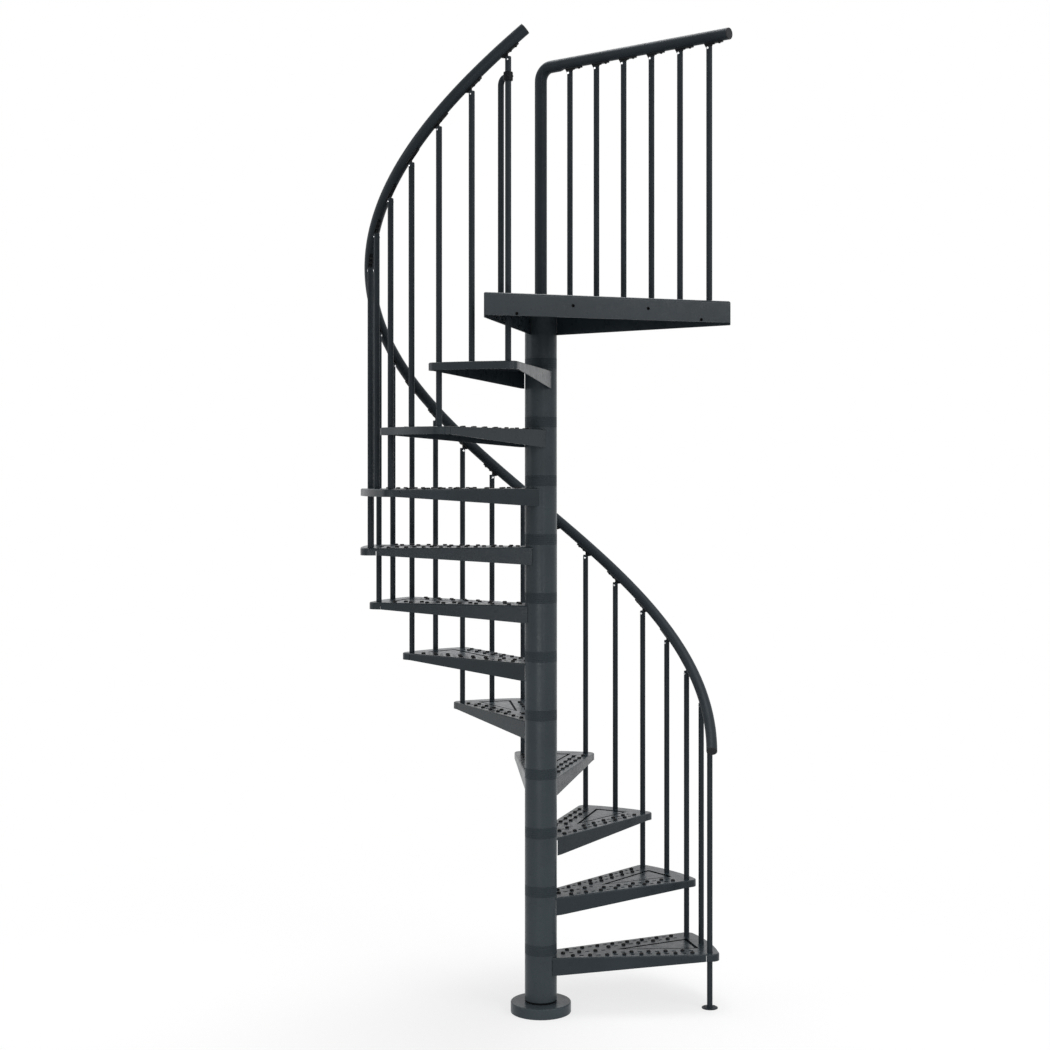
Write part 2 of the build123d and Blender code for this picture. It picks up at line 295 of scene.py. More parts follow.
# Treads: eleven pans folded from 3 mm sheet, with flanges that deepen towards the column.
# The sheet is punched for drainage, pressed in a triangle, and slit where side and rim meet.
sheet = 0.003
tread_reach = 0.625
tip_half_width = 0.157
root_half_width = 0.050
root_depth = 0.061
rim_depth = 0.025
tread_corner = 0.028
column_end = 0.02
corner_margin = 0.002
fold_radius = 0.0045
slit_from_tip = 0.048
slit_width = 0.002
plate_drop = 0.008
step_turn = math.radians(23.34)
last_tread_turn = math.radians(227.68)
tread_count = 11
tread_numbers = range(1, tread_count + 1)
tip_reach = math.sqrt(tread_reach**2 - tip_half_width**2)
root_reach = math.sqrt(column_radius**2 - root_half_width**2)
spread = (tip_half_width - root_half_width) / (tip_reach - root_reach)
slit_reach = tip_reach - slit_from_tip
baluster_radius = 0.0097
baluster_inset = 0.033
baluster_circle = tread_reach - baluster_inset
hole_play = 0.0004
punch_depth = 0.03
tread_grey = (0.018, 0.026, 0.032)
tread_coat = surface_finish("tread_coat_satin", tread_grey, 0.30, 0.22)


def tread_half_width(reach):
    return root_half_width + spread * (reach - root_reach)


def tread_turn(number):
    return last_tread_turn - step_turn * (tread_count - number)


def tread_top(number):
    return rise * number - plate_drop


def tread_place(number):
    lift = Matrix.Translation((0, 0, tread_top(number)))
    return lift @ Matrix.Rotation(tread_turn(number), 4, "Z")


def cut_side(slope, side):
    bpy.ops.mesh.select_all(action="SELECT")
    bpy.ops.mesh.bisect(
        plane_co=(root_reach, side * root_half_width, 0),
        plane_no=(-slope, side, 0),
        use_fill=True,
        clear_outer=True,
    )


def score(reach):
    bpy.ops.mesh.select_all(action="SELECT")
    bpy.ops.mesh.bisect(plane_co=(reach, 0, 0), plane_no=(1, 0, 0))


def fold_from_block(piece):
    pick(piece, "FACE", lambda at: at.z < -rim_depth + edge_margin)
    bpy.ops.mesh.delete(type="FACE")
    pick(piece, "FACE", lambda at: at.x < column_end + edge_margin)
    bpy.ops.mesh.delete(type="FACE")
    bpy.ops.mesh.select_mode(type="EDGE")
    bpy.ops.mesh.select_all(action="DESELECT")
    bpy.ops.mesh.edges_select_sharp(sharpness=square_edge)
    bpy.ops.mesh.bevel(offset=fold_radius, segments=4, affect="EDGES")
    leave()
    apply(piece, "SOLIDIFY", thickness=sheet, offset=-1, use_even_offset=True)


def cut(piece, cutter, operation="DIFFERENCE"):
    apply(piece, "BOOLEAN", object=cutter, operation=operation, solver="EXACT")
    bpy.data.objects.remove(cutter)


def joined(pieces, name):
    bpy.ops.object.select_all(action="DESELECT")
    for piece in pieces:
        piece.select_set(True)
    bpy.context.view_layer.objects.active = pieces[0]
    bpy.ops.object.join()
    return named(name)


def copied(piece, name, place):
    twin = piece.copy()
    twin.data = piece.data.copy()
    twin.name = name
    twin.data.name = name
    twin.data.transform(place)
    bpy.context.scene.collection.objects.link(twin)
    return twin


def punch(radius, vertices, reach, across):
    bpy.ops.object.select_all(action="DESELECT")
    bpy.ops.mesh.primitive_cylinder_add(
        vertices=vertices, radius=radius, depth=punch_depth, location=(reach, across, 0)
    )
    return named("punch")


def punch_box(size, place):
    bpy.ops.object.select_all(action="DESELECT")
    bpy.ops.mesh.primitive_cube_add(size=1, location=place)
    bpy.context.active_object.scale = size
    return named("punch")


def bore_cutter(radius, depth, height=0):
    bpy.ops.object.select_all(action="DESELECT")
    bpy.ops.mesh.primitive_cylinder_add(vertices=112, radius=radius, depth=depth, location=(0, 0, height))
    return named("column_bore")


bpy.ops.object.select_all(action="DESELECT")
bpy.ops.mesh.primitive_cylinder_add(
    vertices=92, radius=tread_reach, depth=rim_depth, location=(0, 0, -rim_depth / 2)
)
tread = named("tread_pan")
edit(tread)
for side in (-1, 1):
    cut_side(spread, side)
bpy.ops.mesh.select_all(action="SELECT")
bpy.ops.mesh.bisect(plane_co=(column_end, 0, 0), plane_no=(-1, 0, 0), use_fill=True, clear_outer=True)
pick(
    tread,
    "EDGE",
    lambda at: at.x > tip_reach - corner_margin and abs(at.y) > tip_half_width - corner_margin,
)
bpy.ops.mesh.bevel(offset=tread_corner, segments=9, affect="EDGES")
score(slit_reach)
score(root_half_width)
pick(
    tread,
    "VERT",
    lambda at: at.z < -rim_depth + edge_margin and at.x < root_half_width + edge_margin,
)
bpy.ops.transform.translate(value=(0, 0, rim_depth - root_depth))
fold_from_block(tread)

# The triangular panel is pressed from the sheet, with a broad groove along its edges.
panel_outer = 0.560
panel_inner = 0.270
panel_half_width = 0.065
panel_corner = 0.007
panel_depth = 0.002
panel_fold = 0.001
panel_floor = 0.0008
press_lift = 0.001
tip_growth = 4
triangle_height = 1.5
triangle_half_width = math.sin(math.radians(60))
groove_depth = 0.0038
groove_width = 0.012
groove_fold = 0.0006
groove_overlap = 0.0004
fine_margin = 0.0001


def pick_upright(piece, least):
    bpy.ops.mesh.select_mode(type="EDGE")
    bpy.ops.mesh.select_all(action="DESELECT")
    mesh = bmesh.from_edit_mesh(piece.data)
    for line in mesh.edges:
        if abs(line.verts[0].co.z - line.verts[1].co.z) > least:
            line.select_set(True)
    bmesh.update_edit_mesh(piece.data)


def panel_press(grow, top, bottom, fold):
    bpy.ops.object.select_all(action="DESELECT")
    bpy.ops.mesh.primitive_cylinder_add(
        vertices=3, radius=1, depth=top - bottom, location=(0, 0, (top + bottom) / 2)
    )
    bpy.context.active_object.rotation_euler.z = math.radians(90)
    press = named("panel_press")
    length = panel_outer - panel_inner + tip_growth * grow
    half_width = panel_half_width + grow
    edit(press)
    bpy.ops.mesh.select_all(action="SELECT")
    bpy.ops.transform.resize(
        value=(length / triangle_height, half_width / triangle_half_width, 1),
        center_override=(0, 0, 0),
    )
    middle = panel_outer + grow - length / 3
    bpy.ops.transform.translate(value=(middle, 0, 0))
    pick_upright(press, (top - bottom) / 2)
    bpy.ops.mesh.bevel(offset=panel_corner, segments=5, affect="EDGES")
    pick(press, "EDGE", lambda at: at.z < bottom + fine_margin)
    bpy.ops.mesh.bevel(offset=fold, segments=3, affect="EDGES")
    leave()
    return press


cut(tread, panel_press(sheet, -sheet / 2, -sheet - panel_depth, panel_fold), "UNION")
cut(tread, panel_press(0, press_lift, -groove_depth, groove_fold))
panel_bottom = -groove_depth - groove_overlap
cut(tread, panel_press(-groove_width, -panel_floor, panel_bottom, groove_overlap / 2), "UNION")

# Studs and drain slots stand in rows beside the side edges, staggered, and fill the narrow end.
stud_pitch = 0.059
stud_first = 0.105
stud_lag = 0.025
stud_rows = 8
narrow_rows = 3
slot_length = 0.015
slot_width = 0.0095
stud_hole = 0.004
outer_row_inset = 0.027
inner_row_inset = 0.057
stud_places = []
slot_places = []
for row in range(stud_rows):
    reach = stud_first + row * stud_pitch
    half_width = tread_half_width(reach) - outer_row_inset
    slot_half_width = tread_half_width(reach + stud_pitch / 2) - outer_row_inset
    behind = reach - stud_lag
    for side in (-1, 1):
        stud_places.append((reach, side * half_width))
        if row < stud_rows - 1:
            slot_places.append((reach + stud_pitch / 2, side * slot_half_width, side))
        if row >= narrow_rows:
            inner_half_width = tread_half_width(behind) - inner_row_inset
            inner_slot = tread_half_width(behind + stud_pitch / 2) - inner_row_inset
            stud_places.append((behind, side * inner_half_width))
            slot_places.append((behind + stud_pitch / 2, side * inner_slot, side))
    if row < narrow_rows:
        stud_places.append((behind, 0))
        slot_places.append((behind + stud_pitch / 2, 0, 0))

punches = [punch(stud_hole, 12, reach, across) for reach, across in stud_places]
for reach, across, side in slot_places:
    slot = punch_box((slot_length, slot_width, punch_depth), (0, 0, 0))
    turn = Matrix.Rotation(side * math.atan(spread), 4, "Z")
    slot.data.transform(Matrix.Translation((reach, across, 0)) @ turn)
    punches.append(slot)
cut(tread, joined(punches, "punches"))

# The baluster of the step below comes up through the front corner, and the column through the root.
front = -step_turn / 2
hole_reach = baluster_circle * math.cos(front)
hole_across = baluster_circle * math.sin(front)
cut(tread, punch(baluster_radius + hole_play, 32, hole_reach, hole_across))
slit_height = -sheet - rim_depth / 2 - edge_margin
cut(tread, punch_box((slit_width, 1, rim_depth), (slit_reach, 0, slit_height)))
bore_play = 0.0003
bore_length = 0.3
cut(tread, bore_cutter(column_radius + bore_play, bore_length))

# Below the fold the side flanges stop short of the column, so the coat can reach their ends.
flange_gap = 0.0024
flange_relief = 0.2
relief_height = -sheet - fold_radius - flange_relief / 2
cut(tread, bore_cutter(column_radius + flange_gap, flange_relief, relief_height))

# The panel's groove faces take a near-black coat: painted shade for the shadow that fills the groove.
groove_painted_shade_colour = (0.004, 0.006, 0.008)
groove_painted_shade_coat = surface_finish("panel_groove_painted_shade", groove_painted_shade_colour, 0.6, 0.1, shine=0.03)
groove_margin = 0.0005


def in_groove(face):
    corners = [tread.data.vertices[index].co for index in face.vertices]
    for at in corners:
        share_out = (at.x - panel_inner) / (panel_outer - panel_inner)
        if at.z > groove_margin or at.x > panel_outer + groove_margin:
            return False
        if abs(at.y) > panel_half_width * share_out + groove_margin:
            return False
    return min(at.z for at in corners) < -panel_floor - groove_margin


painted_shade_faces = {face.index for face in tread.data.polygons if in_groove(face)}
for number in tread_numbers:
    pan = copied(tread, f"tread_pan_{number:02d}", tread_place(number))
    settle(pan, tread_coat, "tread_coat", f"tread_{number:02d}")
    # The groove's faces get the second coat, the painted shade.
    pan.data.materials.append(groove_painted_shade_coat)
    for face in pan.data.polygons:
        face.material_index = int(face.index in painted_shade_faces)
bpy.data.objects.remove(tread)


# Studs: anti-slip rings of black rubber, pressed into the punched holes of the treads.
# Each is a short collar with an open middle, so water runs through it.
stud_radius = 0.0075
stud_bore = 0.0038
stud_height = 0.0045
stud_rim = 0.0013
rubber_black = (0.005, 0.005, 0.006)
stud_rubber = surface_finish("stud_rubber_black", rubber_black, 0.62, 0.12)

bpy.ops.object.select_all(action="DESELECT")
bpy.ops.mesh.primitive_cylinder_add(
    vertices=12, radius=stud_radius, depth=stud_height, location=(0, 0, stud_height / 2)
)
stud = named("stud")
edit(stud)
pick(stud, "FACE", lambda at: at.z < fine_margin)
bpy.ops.mesh.delete(type="FACE")
pick(stud, "EDGE", lambda at: at.z > stud_height - fine_margin)
bpy.ops.mesh.bevel(offset=stud_rim, segments=1, affect="EDGES")
pick(stud, "FACE", lambda at: at.z > stud_height - fine_margin)
bpy.ops.mesh.inset(thickness=stud_radius - stud_rim - stud_bore)
bpy.ops.mesh.extrude_region_move(TRANSFORM_OT_translate={"value": (0, 0, -stud_height - sheet)})
bpy.ops.mesh.delete(type="FACE")
bpy.ops.mesh.select_mode(type="EDGE")
bpy.ops.mesh.select_non_manifold()
bpy.ops.mesh.bridge_edge_loops()
bpy.ops.mesh.select_all(action="SELECT")
bpy.ops.mesh.normals_make_consistent(inside=False)
leave()
row_of_studs = [
    copied(stud, "stud_in_row", Matrix.Translation((reach, across, 0))) for reach, across in stud_places
]
tread_studs = joined(row_of_studs, "studs_of_a_tread")
all_studs = []
for number in tread_numbers:
    all_studs.append(copied(tread_studs, f"studs_{number:02d}", tread_place(number)))
bpy.data.objects.remove(tread_studs)
studs = joined(all_studs, "tread_studs")
settle(studs, stud_rubber, "cap_plastic")


# Balusters: steel tubes in two lengths, one at each tread's corner and one in its middle.
# Their heads are closed and flat, with a rounded rim, and stop short of the rail.
bracket_drop = 0.040
head_rim = 0.0025
rail_start = 0.990
rail_grey = (0.024, 0.031, 0.037)
rail_coat = surface_finish("rail_coat_satin", rail_grey, 0.40, 0.02, shine=0.07)


def baluster_turn(number):
    return tread_turn(number / 2 + 0.5)


def rail_height(number):
    return rail_start + number * rise / 2


def baluster(name, length):
    bpy.ops.object.select_all(action="DESELECT")
    bpy.ops.mesh.primitive_cylinder_add(
        vertices=28, radius=baluster_radius, depth=length, location=(0, 0, length / 2)
    )
    bar = named(name)
    edit(bar)
    pick(bar, "EDGE", lambda at: at.z > length - fine_margin)
    bpy.ops.mesh.bevel(offset=head_rim, segments=3, affect="EDGES")
    leave()
    return bar


def on_circle(number, height):
    turn = Matrix.Rotation(baluster_turn(number), 4, "Z")
    return turn @ Matrix.Translation((baluster_circle, 0, height))


def set_of_balusters(name, numbers, bottoms, node):
    length = rail_height(numbers[0]) - bracket_drop - bottoms[0]
    bar = baluster(name, length)
    places = [on_circle(number, bottom) for number, bottom in zip(numbers, bottoms)]
    bars = [copied(bar, f"{name}_bar", place) for place in places]
    bpy.data.objects.remove(bar)
    settle(joined(bars, name), rail_coat, "rail_coat", node)


tread_tops = [tread_top(number) for number in tread_numbers]
corner_numbers = [2 * number for number in tread_numbers]
middle_numbers = [number - 1 for number in corner_numbers]
set_of_balusters("corner_bars", corner_numbers, tread_tops, "corner_balusters")
set_of_balusters("middle_bars", middle_numbers, tread_tops, "middle_balusters")


# Floor post: the first baluster, which stands on the floor on a small dished flange.
# The flange is pressed from sheet and held by three screws.
foot_radius = 0.028
foot_height = 0.006
foot_sheet = 0.0025
foot_dish = ((0.0015, 0.0008), (0.0135, 0.0017), (0.001, 0.001))
foot_screw_turns = (30, 150, 270)
foot_screw_circle = 0.0195
foot_screw_height = 0.0042
foot_screw_radius = 0.0036
foot_screw_flat = 0.55
set_of_balusters("first_bar", [0], [foot_height], "floor_post")


def domed_head(name, segments, radius, flat, up):
    bpy.ops.object.select_all(action="DESELECT")
    bpy.ops.mesh.primitive_uv_sphere_add(segments=segments, ring_count=8, radius=radius)
    head = named(name)
    head.data.transform(Matrix.Diagonal((1, 1, flat, 1)))
    edit(head)
    bpy.ops.mesh.select_all(action="SELECT")
    bpy.ops.mesh.bisect(
        plane_co=(0, 0, -up * fine_margin), plane_no=(0, 0, -up), use_fill=True, clear_outer=True
    )
    leave()
    return head


bpy.ops.object.select_all(action="DESELECT")
bpy.ops.mesh.primitive_cylinder_add(
    vertices=48, radius=foot_radius, depth=foot_sheet, location=(0, 0, foot_sheet / 2)
)
foot = named("post_flange")
edit(foot)
pick(foot, "FACE", lambda at: at.z > foot_sheet - fine_margin)
for inset_width, inset_rise in foot_dish:
    bpy.ops.mesh.inset(thickness=inset_width, depth=inset_rise)
leave()
screws = []
for turn in foot_screw_turns:
    head = domed_head("flange_screw", 14, foot_screw_radius, foot_screw_flat, 1)
    head_x = foot_screw_circle * math.cos(math.radians(turn))
    head_y = foot_screw_circle * math.sin(math.radians(turn))
    head.data.transform(Matrix.Translation((head_x, head_y, foot_screw_height)))
    screws.append(head)
foot = joined([foot, *screws], "post_flange")
foot.data.transform(on_circle(0, 0))
settle(foot, rail_coat, "rail_coat", "floor_post_foot")


# Baluster bolts: a bright zinc-plated bolt through the head of each baluster.
# It holds the tongue of the rail bracket. Its domed head is inside, towards the column.
bolt_drop = 0.011
bolt_head = 0.0040
bolt_nut = 0.0025
bolt_height = 0.0014
bolt_dome = 0.0008
bolt_sunk = 0.0004
bright_zinc = (0.80, 0.81, 0.82)
bolt_zinc = surface_finish("bolt_zinc_bright", bright_zinc, 0.22, 0.03, shine=0.5, metal=1.0)
bolt_tip = baluster_radius + bolt_height - bolt_sunk

bolt_ends = []
for turn, bolt_radius in ((-90, bolt_head), (90, bolt_nut)):
    bpy.ops.object.select_all(action="DESELECT")
    bpy.ops.mesh.primitive_cylinder_add(
        vertices=12, radius=bolt_radius, depth=bolt_height, location=(0, 0, bolt_tip - bolt_height / 2)
    )
    bolt_end = named("bolt_end")
    edit(bolt_end)
    pick(bolt_end, "EDGE", lambda at: at.z > bolt_tip - fine_margin)
    bpy.ops.mesh.bevel(offset=bolt_dome, segments=2, affect="EDGES")
    leave()
    bolt_end.data.transform(Matrix.Rotation(math.radians(turn), 4, "Y"))
    bolt_ends.append(bolt_end)
bolt = joined(bolt_ends, "baluster_bolt")
stair_bolts = []
for number in range(2 * tread_count + 1):
    height = rail_height(number) - bracket_drop - bolt_drop
    stair_bolts.append(copied(bolt, "stair_bolt", on_circle(number, height)))
settle(joined(stair_bolts, "stair_bolts"), bolt_zinc, "bracket_coat")


# Handrail: one steel tube rolled to a helix over the balusters, cut square at both ends.
# It is coated before it is fitted, so its surface runs through without a joint.
rail_radius = 0.019
lead_length = 0.090
tail_length = 0.052
rail_lead = lead_length / baluster_circle
rail_tail = tail_length / baluster_circle
rail_spare = math.radians(4)
rail_steps = 150
end_zone = 0.12
rail_turn = rail_lead + step_turn * tread_count + rail_tail
climb = rise / step_turn
rail_slope = math.atan2(climb, baluster_circle)


def rail_frame(turn):
    height = rail_start + climb * (turn - baluster_turn(0))
    lean = Matrix.Rotation(math.radians(90), 4, "Z") @ Matrix.Rotation(-rail_slope, 4, "Y")
    return Matrix.Rotation(turn, 4, "Z") @ Matrix.Translation((baluster_circle, 0, height)) @ lean


bpy.ops.object.select_all(action="DESELECT")
bpy.ops.mesh.primitive_circle_add(
    vertices=36, radius=rail_radius, location=(baluster_circle, 0, 0), rotation=(math.radians(90), 0, 0)
)
handrail = named("handrail_tube")
edit(handrail)
bpy.ops.mesh.select_all(action="SELECT")
bpy.ops.transform.resize(value=(1, 1, 1 / math.cos(rail_slope)), center_override=(baluster_circle, 0, 0))
leave()
apply(
    handrail,
    "SCREW",
    axis="Z",
    angle=rail_turn + 2 * rail_spare,
    screw_offset=climb * (rail_turn + 2 * rail_spare),
    steps=rail_steps,
    render_steps=rail_steps,
)
rail_first = baluster_turn(0) - rail_lead
rail_last = rail_first + rail_turn
spare_height = rail_start - climb * (rail_lead + rail_spare)
handrail.data.transform(
    Matrix.Translation((0, 0, spare_height)) @ Matrix.Rotation(rail_first - rail_spare, 4, "Z")
)
edit(handrail)
for end, outward in ((rail_first, -1), (rail_last, 1)):
    cut_frame = rail_frame(end)
    pick(handrail, "FACE", lambda at: (at - cut_frame.translation).length < end_zone)
    bpy.ops.mesh.bisect(
        plane_co=cut_frame.translation,
        plane_no=cut_frame.to_3x3() @ Vector((outward, 0, 0)),
        use_fill=True,
        clear_outer=True,
    )
bpy.ops.mesh.select_all(action="SELECT")
bpy.ops.mesh.normals_make_consistent(inside=False)
leave()
settle(handrail, rail_coat, "rail_coat", "handrail")


# Rail ends: plain plugs of black plastic in the open ends of the rails.
# Each has a lip as wide as the tube, with a rounded edge.
lip = 0.004
lip_edge = 0.002
cap_black = (0.012, 0.014, 0.016)
cap_plastic = surface_finish("cap_plastic_matt", cap_black, 0.48, 0.04)


def rail_plug(name, place):
    bpy.ops.object.select_all(action="DESELECT")
    bpy.ops.mesh.primitive_cylinder_add(
        vertices=36,
        radius=rail_radius,
        depth=lip,
        location=(lip / 2, 0, 0),
        rotation=(0, math.radians(90), 0),
    )
    plug = named(name)
    edit(plug)
    pick(plug, "EDGE", lambda at: at.x > lip - fine_margin)
    bpy.ops.mesh.bevel(offset=lip_edge, segments=4, affect="EDGES")
    leave()
    plug.data.transform(place)
    return plug


turned_back = Matrix.Rotation(math.radians(180), 4, "Z")
rail_plugs = [
    rail_plug("lower_plug", rail_frame(rail_first) @ turned_back),
    rail_plug("upper_plug", rail_frame(rail_last)),
]
settle(joined(rail_plugs, "handrail_plugs"), cap_plastic, "cap_plastic", "handrail_caps")


# Rail brackets: a steel strip curved to the rail's underside, with a web down to the baluster.
# Two domed screws hold it to the rail, and it is coated darker than the tubes.
strip_length = 0.070
strip_heel = 0.018
strip_width = 0.014
strip_thickness = 0.003
strip_wrap = 0.0015
strip_corner = 0.005
strip_edge = 0.0007
saddle_gap = 0.0004
saddle_length = 0.3
web_thickness = 0.006
web_overlap = 0.006
web_heel = 0.018
web_sunk = 0.001
web_inset = 0.0005
cube_corner = 0.4
rail_screw_places = (0.017, 0.039)
rail_screw_radius = 0.0050
rail_screw_flat = 0.85
rail_screw_sunk = 0.0003
stair_neck = 0.0
stair_toe = 0.007
bracket_black = (0.005, 0.006, 0.007)
bracket_coat = surface_finish("bracket_coat_dark", bracket_black, 0.42, 0.04, shine=0.1)


def rail_bracket(name, lean, drop, neck, web_toe):
    foot = -drop * math.sin(lean)
    under = -(rail_radius + saddle_gap)
    strip_top = under + strip_wrap
    strip_bottom = under - strip_thickness
    strip_middle = (strip_length / 2 - strip_heel + foot, 0, (strip_top + strip_bottom) / 2)
    bpy.ops.object.select_all(action="DESELECT")
    bpy.ops.mesh.primitive_cube_add(size=1, location=strip_middle)
    bpy.context.active_object.scale = (strip_length, strip_width, strip_top - strip_bottom)
    strip = named(name)
    edit(strip)
    pick_upright(strip, (strip_top - strip_bottom) / 2)
    bpy.ops.mesh.bevel(offset=strip_corner, segments=4, affect="EDGES")
    pick(strip, "EDGE", lambda at: at.z < strip_bottom + fine_margin)
    bpy.ops.mesh.bevel(offset=strip_edge, segments=2, affect="EDGES")
    leave()
    bpy.ops.object.select_all(action="DESELECT")
    bpy.ops.mesh.primitive_cylinder_add(
        vertices=64, radius=-under, depth=saddle_length, rotation=(0, math.radians(90), 0)
    )
    cut(strip, named("rail_shape"))

    # The web narrows from the strip to the baluster's head, and laps a little way down its side.
    def head(across, lap):
        along = foot + across * math.cos(lean) - lap * math.sin(lean)
        return along, -across * math.sin(lean) - (drop + lap) * math.cos(lean)

    bpy.ops.object.select_all(action="DESELECT")
    bpy.ops.mesh.primitive_cube_add(size=1)
    bpy.context.active_object.scale = (1, web_thickness, 1)
    web = named("web")
    corners = {
        (-1, 1): (foot - web_heel, strip_bottom + web_sunk),
        (1, 1): (foot + web_toe, strip_bottom + web_sunk),
        (1, -1): head(neck, web_sunk),
        (-1, -1): head(-baluster_radius + web_inset, web_overlap),
    }
    edit(web)
    for (along, up), (to_x, to_z) in corners.items():
        pick(web, "VERT", lambda at: at.x * along > cube_corner and at.z * up > cube_corner)
        bpy.ops.transform.translate(value=(to_x - along / 2, 0, to_z - up / 2))
    leave()

    screws = []
    for along in rail_screw_places:
        screw = domed_head("rail_screw", 12, rail_screw_radius, rail_screw_flat, -1)
        screw.data.transform(Matrix.Translation((foot + along, 0, strip_bottom + rail_screw_sunk)))
        screws.append(screw)
    return joined([strip, web, *screws], name)


stair_bracket = rail_bracket("stair_bracket", rail_slope, bracket_drop, stair_neck, stair_toe)
stair_brackets = []
for number in range(2 * tread_count + 1):
    place = rail_frame(baluster_turn(number))
    stair_brackets.append(copied(stair_bracket, "stair_bracket_copy", place))
bpy.data.objects.remove(stair_bracket)
settle(joined(stair_brackets, "stair_brackets"), bracket_coat, "bracket_coat", "stair_rail_brackets")


# Landing: a triangular pan folded from the same sheet, with deep flanges all round.
# Its straight outer flange, the fascia, is drilled for bolts to the floor above.
landing_reach = 0.625
landing_half_length = 0.4235
landing_depth = 0.078
landing_corner = 0.008
landing_corner_margin = 0.003
landing_row_inset = outer_row_inset * 1.2
landing_stud_gap = 1.6 * stud_pitch
landing_top = column_top - plate_drop
landing_direction = math.radians(270)
landing_spread = (landing_half_length - root_half_width) / (landing_reach - root_reach)
fascia_holes = ((0.256, 0.0335), (0.629, 0.0635))
fascia_hole_radius = 0.0056
cup_depth = 0.010
cup_wall = 0.0006
cup_sunk = 0.0004

bpy.ops.object.select_all(action="DESELECT")
landing_middle = ((landing_reach + column_end) / 2, 0, -landing_depth / 2)
bpy.ops.mesh.primitive_cube_add(size=1, location=landing_middle)
bpy.context.active_object.scale = (landing_reach - column_end, 2 * landing_half_length, landing_depth)
landing = named("landing_pan")
edit(landing)
for side in (-1, 1):
    cut_side(landing_spread, side)
corner_across = landing_half_length - landing_corner_margin
pick(landing, "EDGE", lambda at: at.x > landing_reach - edge_margin and abs(at.y) > corner_across)
bpy.ops.mesh.bevel(offset=landing_corner, segments=5, affect="EDGES")
fold_from_block(landing)

landing_studs = []
punches = []
for row in range(stud_rows):
    reach = stud_first + row * stud_pitch
    half_width = root_half_width + landing_spread * (reach - root_reach) - landing_row_inset
    steps = max(1, round(2 * half_width / landing_stud_gap))
    for step in range(steps + 1):
        across = half_width * (2 * step / steps - 1)
        landing_studs.append((reach, across))
        punches.append(punch(stud_hole, 12, reach, across))
cut(landing, joined(punches, "punches"))
hole_cups = []
for spacing, drop in fascia_holes:
    for side in (-1, 1):
        bpy.ops.object.select_all(action="DESELECT")
        bpy.ops.mesh.primitive_cylinder_add(
            vertices=24,
            radius=fascia_hole_radius,
            depth=punch_depth,
            location=(landing_reach, side * spacing / 2, -drop),
            rotation=(0, math.radians(90), 0),
        )
        cut(landing, named("bolt_drill"))

        # A thin black cup sits in the hole: painted shade, so the hole reads as dark as the shaded inside
        # of the pan.
        bpy.ops.object.select_all(action="DESELECT")
        bpy.ops.mesh.primitive_cylinder_add(
            vertices=24,
            radius=fascia_hole_radius - fine_margin,
            depth=cup_depth,
            location=(landing_reach - cup_sunk - cup_depth / 2, side * spacing / 2, -drop),
            rotation=(0, math.radians(90), 0),
        )
        cup = named("hole_cup")
        edit(cup)
        pick(cup, "FACE", lambda at: at.x > landing_reach - cup_sunk - fine_margin)
        bpy.ops.mesh.inset(thickness=cup_wall)
        bpy.ops.mesh.extrude_region_move(
            TRANSFORM_OT_translate={"value": (cup_wall - cup_depth, 0, 0)}
        )
        leave()
        hole_cups.append(cup)
cut(landing, bore_cutter(column_radius + bore_play, bore_length))
landing_place = Matrix.Translation((0, 0, landing_top)) @ Matrix.Rotation(landing_direction, 4, "Z")
last_baluster = on_circle(2 * tread_count, landing_top)
last_hole = landing_place.inverted() @ last_baluster.translation
cut(landing, punch(baluster_radius + hole_play, 32, last_hole.x, last_hole.y))
landing.data.transform(landing_place)
settle(landing, tread_coat, "tread_coat", "landing_deck")
# The cups take the studs' black rubber coat, as painted shade in the fascia's holes.
hole_shade_cups = joined(hole_cups, "fascia_hole_shade_cups")
hole_shade_cups.data.transform(landing_place)
settle(hole_shade_cups, stud_rubber, "cap_plastic")

studs_on_landing = [
    copied(stud, "stud_on_landing", landing_place @ Matrix.Translation((reach, across, 0)))
    for reach, across in landing_studs
]
bpy.data.objects.remove(stud)
settle(joined(studs_on_landing, "landing_studs"), stud_rubber, "cap_plastic")


# Guard post: a stouter steel tube set in the top of the column and bent over at the rail's height.
# The bend ends in a short stub, drawn down to the size of the guard rail that goes into it.
guard_inset = 0.053
guard_overhang = 0.0433
guard_height = 0.850
elbow_radius = 0.045
elbow_length = 0.098
stub_taper = 0.014
post_sunk = 0.02
weld = 0.00001
guard_span = math.hypot(landing_reach, landing_half_length - guard_inset)
guard_turn = landing_direction + math.atan2(landing_half_length - guard_inset, landing_reach)
elbow_height = landing_top + guard_height - fine_margin
guard_rail_height = elbow_height + post_radius - rail_radius
guard_reach = guard_span + guard_overhang


def bent_tube(name, radius, bottom, height, bend, reach):
    bpy.ops.object.select_all(action="DESELECT")
    bpy.ops.mesh.primitive_circle_add(
        vertices=36, radius=radius, location=(0, 0, bottom), fill_type="NGON"
    )
    tube = named(name)
    edit(tube)
    bpy.ops.mesh.select_mode(type="FACE")
    bpy.ops.mesh.select_all(action="SELECT")
    bpy.ops.mesh.extrude_region_move(TRANSFORM_OT_translate={"value": (0, 0, height - bend - bottom)})
    bpy.ops.mesh.spin(
        steps=14, angle=math.radians(-90), center=(bend, 0, height - bend), axis=(0, 1, 0)
    )
    bpy.ops.mesh.extrude_region_move(TRANSFORM_OT_translate={"value": (reach - bend, 0, 0)})
    bpy.ops.mesh.select_all(action="SELECT")
    bpy.ops.mesh.remove_doubles(threshold=weld)
    bpy.ops.mesh.normals_make_consistent(inside=False)
    leave()
    return tube


